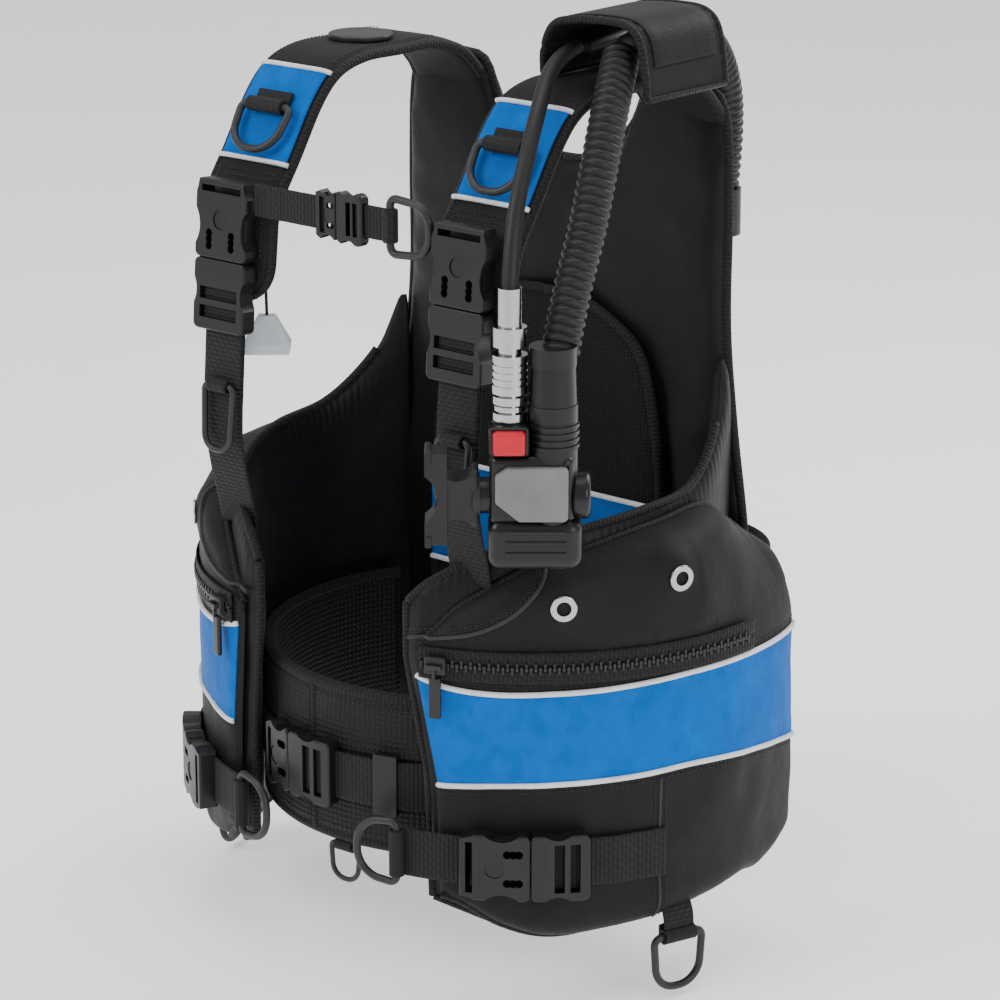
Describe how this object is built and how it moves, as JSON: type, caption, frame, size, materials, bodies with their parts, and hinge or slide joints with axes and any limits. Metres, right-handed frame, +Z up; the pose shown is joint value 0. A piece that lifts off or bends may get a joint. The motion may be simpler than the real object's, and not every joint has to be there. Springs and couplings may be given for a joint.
{
  "type": "buoyancy compensator vest",
  "caption": "Jacket-style diving buoyancy vest with bladder wings, cargo pockets, buckled straps, a power inflator on a corrugated hose and a tank band.",
  "frame": {"origin": "centre of the wearer's waist at belt height, in the middle of the torso space", "axes": "+Z up the wearer's spine, -Y the way the wearer faces, +X the wearer's left"},
  "size_m": [0.4964, 0.5441, 0.7302],
  "materials": {
    "black_fabric": "woven coated nylon",
    "pocket_fabric": "coarse woven nylon with a printed blue band",
    "mesh_fabric": "open spacer mesh",
    "blue_fabric": "smooth coated cloth, white piping",
    "webbing": "woven nylon webbing",
    "black_plastic": "moulded acetal, fine grain",
    "ring_plastic": "moulded nylon",
    "red_plastic": "moulded",
    "grey_plastic": "moulded",
    "light_grey_plastic": "moulded",
    "plated_metal": "polished",
    "hose_rubber": "moulded rubber",
    "zip_plastic": "moulded teeth on woven tape",
    "cord_yarn": "braided cord"
  },
  "bodies": {
    "vest": {"back_pad": "mesh_fabric", "backpack_plate": "black_plastic", "belt_sliders": "black_plastic", "bladder_back": "black_fabric", "bladder_wings": "black_fabric", "carry_handle": "webbing", "chest_socket": "black_plastic", "chest_strap": "webbing", "corrugated_hose_rear": "hose_rubber", "cummerbund": "black_fabric", "dump_valves": "black_plastic", "grommets": "plated_metal", "hose_elbow": "black_plastic", "hose_sleeve": "black_fabric", "lp_hose_fitting": "plated_metal", "lp_hose_rear": "hose_rubber", "lumbar_panel": "blue_fabric", "pocket_sockets": "black_plastic", "pocket_straps": "webbing", "pockets": "pocket_fabric", "ring_tabs": "webbing", "shoulder_pads": "black_fabric", "shoulder_panels": "blue_fabric", "shoulder_sockets": "black_plastic", "shoulder_webbing": "webbing", "tank_band": "webbing", "tank_buckle": "black_plastic", "waist_belt": "webbing", "waist_socket": "black_plastic", "zip_chains": "zip_plastic"},
    "inflator": {"inflator_body": "black_plastic", "mouthpiece": "hose_rubber", "hose_cuff": "black_plastic", "lp_coupling": "plated_metal", "corrugated_hose": "hose_rubber", "lp_hose": "hose_rubber"},
    "dump_pull": {"pull_cord": "cord_yarn", "pull_knob": "light_grey_plastic"},
    "coupling_collar": {"coupling_collar": "plated_metal"},
    "inflate_button": {"inflate_button": "red_plastic"},
    "deflate_button": {"deflate_button": "grey_plastic"},
    "chest_plug": {"chest_plug": "black_plastic"},
    "chest_ring": {"chest_ring": "ring_plastic"},
    "waist_plug": {"waist_plug": "black_plastic"},
    "cummerbund_ring": {"cummerbund_ring": "ring_plastic"},
    "tank_buckle_lever": {"tank_buckle_lever": "black_plastic"},
    "shoulder_d_ring_left": {"shoulder_d_ring_left": "ring_plastic"},
    "shoulder_d_ring_right": {"shoulder_d_ring_right": "ring_plastic"},
    "shoulder_plug_left": {"shoulder_plug_left": "black_plastic"},
    "shoulder_plug_right": {"shoulder_plug_right": "black_plastic"},
    "tail_ring_left": {"tail_ring_left": "ring_plastic"},
    "tail_ring_right": {"tail_ring_right": "ring_plastic"},
    "pocket_plug_left": {"pocket_plug_left": "black_plastic"},
    "pocket_plug_right": {"pocket_plug_right": "black_plastic"},
    "zip_slider_left": {"zip_slider_left": "zip_plastic"},
    "zip_slider_right": {"zip_slider_right": "zip_plastic"},
    "hip_d_ring_left": {"hip_d_ring_left": "ring_plastic"},
    "hip_d_ring_right": {"hip_d_ring_right": "ring_plastic"},
    "bottom_d_ring_left": {"bottom_d_ring_left": "ring_plastic"},
    "bottom_d_ring_right": {"bottom_d_ring_right": "ring_plastic"}
  },
  "joints": [
    {"name": "hose_swing", "type": "hinge", "parent": "vest", "child": "inflator", "pos_m": [0.15, 0.004, 0.547], "axis": [-1, 0, 0], "range_deg": [0, 25]},
    {"name": "inflate_press", "type": "slide", "parent": "inflator", "child": "inflate_button", "axis": [-0.6428, 0.766, 0], "range_m": [0, 0.003], "stiffness_N_per_m": 400},
    {"name": "deflate_press", "type": "slide", "parent": "inflator", "child": "deflate_button", "axis": [-0.6428, 0.766, 0], "range_m": [0, 0.003], "stiffness_N_per_m": 400},
    {"name": "collar_slide", "type": "slide", "parent": "inflator", "child": "coupling_collar", "axis": [0, 0, 1], "range_m": [0, 0.005], "stiffness_N_per_m": 300},
    {"name": "dump_pull_slide", "type": "slide", "parent": "vest", "child": "dump_pull", "axis": [0, 0, -1], "range_m": [0, 0.015], "stiffness_N_per_m": 200},
    {"name": "shoulder_ring_swing_left", "type": "hinge", "parent": "vest", "child": "shoulder_d_ring_left", "pos_m": [0.117, -0.07993, 0.48826], "axis": [-1, 0, 0], "range_deg": [0, 76]},
    {"name": "shoulder_release_left", "type": "slide", "parent": "vest", "child": "shoulder_plug_left", "axis": [0, -0.0733, -0.9973], "range_m": [0, 0.025]},
    {"name": "tail_ring_swing_left", "type": "hinge", "parent": "vest", "child": "tail_ring_left", "pos_m": [0.117, -0.13786, 0.28154], "axis": [-1, 0, 0], "range_deg": [0, 16]},
    {"name": "pocket_release_left", "type": "hinge", "parent": "vest", "child": "pocket_plug_left", "pos_m": [0.035, 0.05, -0.04], "axis": [0, 0, 1], "range_deg": [0, 6.8]},
    {"name": "zip_run_left", "type": "hinge", "parent": "vest", "child": "zip_slider_left", "pos_m": [0.035, 0.05, 0.112], "axis": [0, 0, 1], "range_deg": [0, 68]},
    {"name": "hip_ring_swing_left", "type": "hinge", "parent": "vest", "child": "hip_d_ring_left", "pos_m": [0.07995, -0.16148, -0.04], "axis": [0, 0, 1], "range_deg": [0, 80]},
    {"name": "bottom_ring_swing_left", "type": "hinge", "parent": "vest", "child": "bottom_d_ring_left", "pos_m": [0.23282, -0.01428, -0.112], "axis": [-0.309, -0.9511, 0], "range_deg": [-40, 60]},
    {"name": "shoulder_ring_swing_right", "type": "hinge", "parent": "vest", "child": "shoulder_d_ring_right", "pos_m": [-0.117, -0.07993, 0.48826], "axis": [-1, 0, 0], "range_deg": [0, 80]},
    {"name": "shoulder_release_right", "type": "slide", "parent": "vest", "child": "shoulder_plug_right", "axis": [0, -0.0733, -0.9973], "range_m": [0, 0.025]},
    {"name": "tail_ring_swing_right", "type": "hinge", "parent": "vest", "child": "tail_ring_right", "pos_m": [-0.117, -0.13786, 0.28154], "axis": [-1, 0, 0], "range_deg": [0, 70]},
    {"name": "pocket_release_right", "type": "hinge", "parent": "vest", "child": "pocket_plug_right", "pos_m": [-0.035, 0.05, -0.04], "axis": [0, 0, -1], "range_deg": [0, 6.8]},
    {"name": "zip_run_right", "type": "hinge", "parent": "vest", "child": "zip_slider_right", "pos_m": [-0.035, 0.05, 0.112], "axis": [0, 0, -1], "range_deg": [0, 68]},
    {"name": "hip_ring_swing_right", "type": "hinge", "parent": "vest", "child": "hip_d_ring_right", "pos_m": [-0.07995, -0.16148, -0.04], "axis": [0, 0, -1], "range_deg": [0, 80]},
    {"name": "bottom_ring_swing_right", "type": "hinge", "parent": "vest", "child": "bottom_d_ring_right", "pos_m": [-0.23282, -0.01428, -0.112], "axis": [-0.309, 0.9511, 0], "range_deg": [-40, 60]},
    {"name": "chest_release", "type": "slide", "parent": "vest", "child": "chest_plug", "axis": [1, 0, 0], "range_m": [0, 0.013]},
    {"name": "chest_ring_swing", "type": "hinge", "parent": "vest", "child": "chest_ring", "pos_m": [0.046, -0.1244, 0.427], "axis": [0, 0, -1], "range_deg": [0, 60]},
    {"name": "waist_release", "type": "hinge", "parent": "vest", "child": "waist_plug", "pos_m": [0, 0.03, 0], "axis": [0, 0, 1], "range_deg": [0, 8.3]},
    {"name": "cummerbund_ring_swing", "type": "hinge", "parent": "vest", "child": "cummerbund_ring", "pos_m": [0.00583, -0.1369, -0.061], "axis": [-0.9994, -0.0349, 0], "range_deg": [-40, 60]},
    {"name": "tank_lever_turn", "type": "hinge", "parent": "vest", "child": "tank_buckle_lever", "pos_m": [-0.1065, 0.242, 0.06], "axis": [0, 0, 1], "range_deg": [0, 110]}
  ]
}
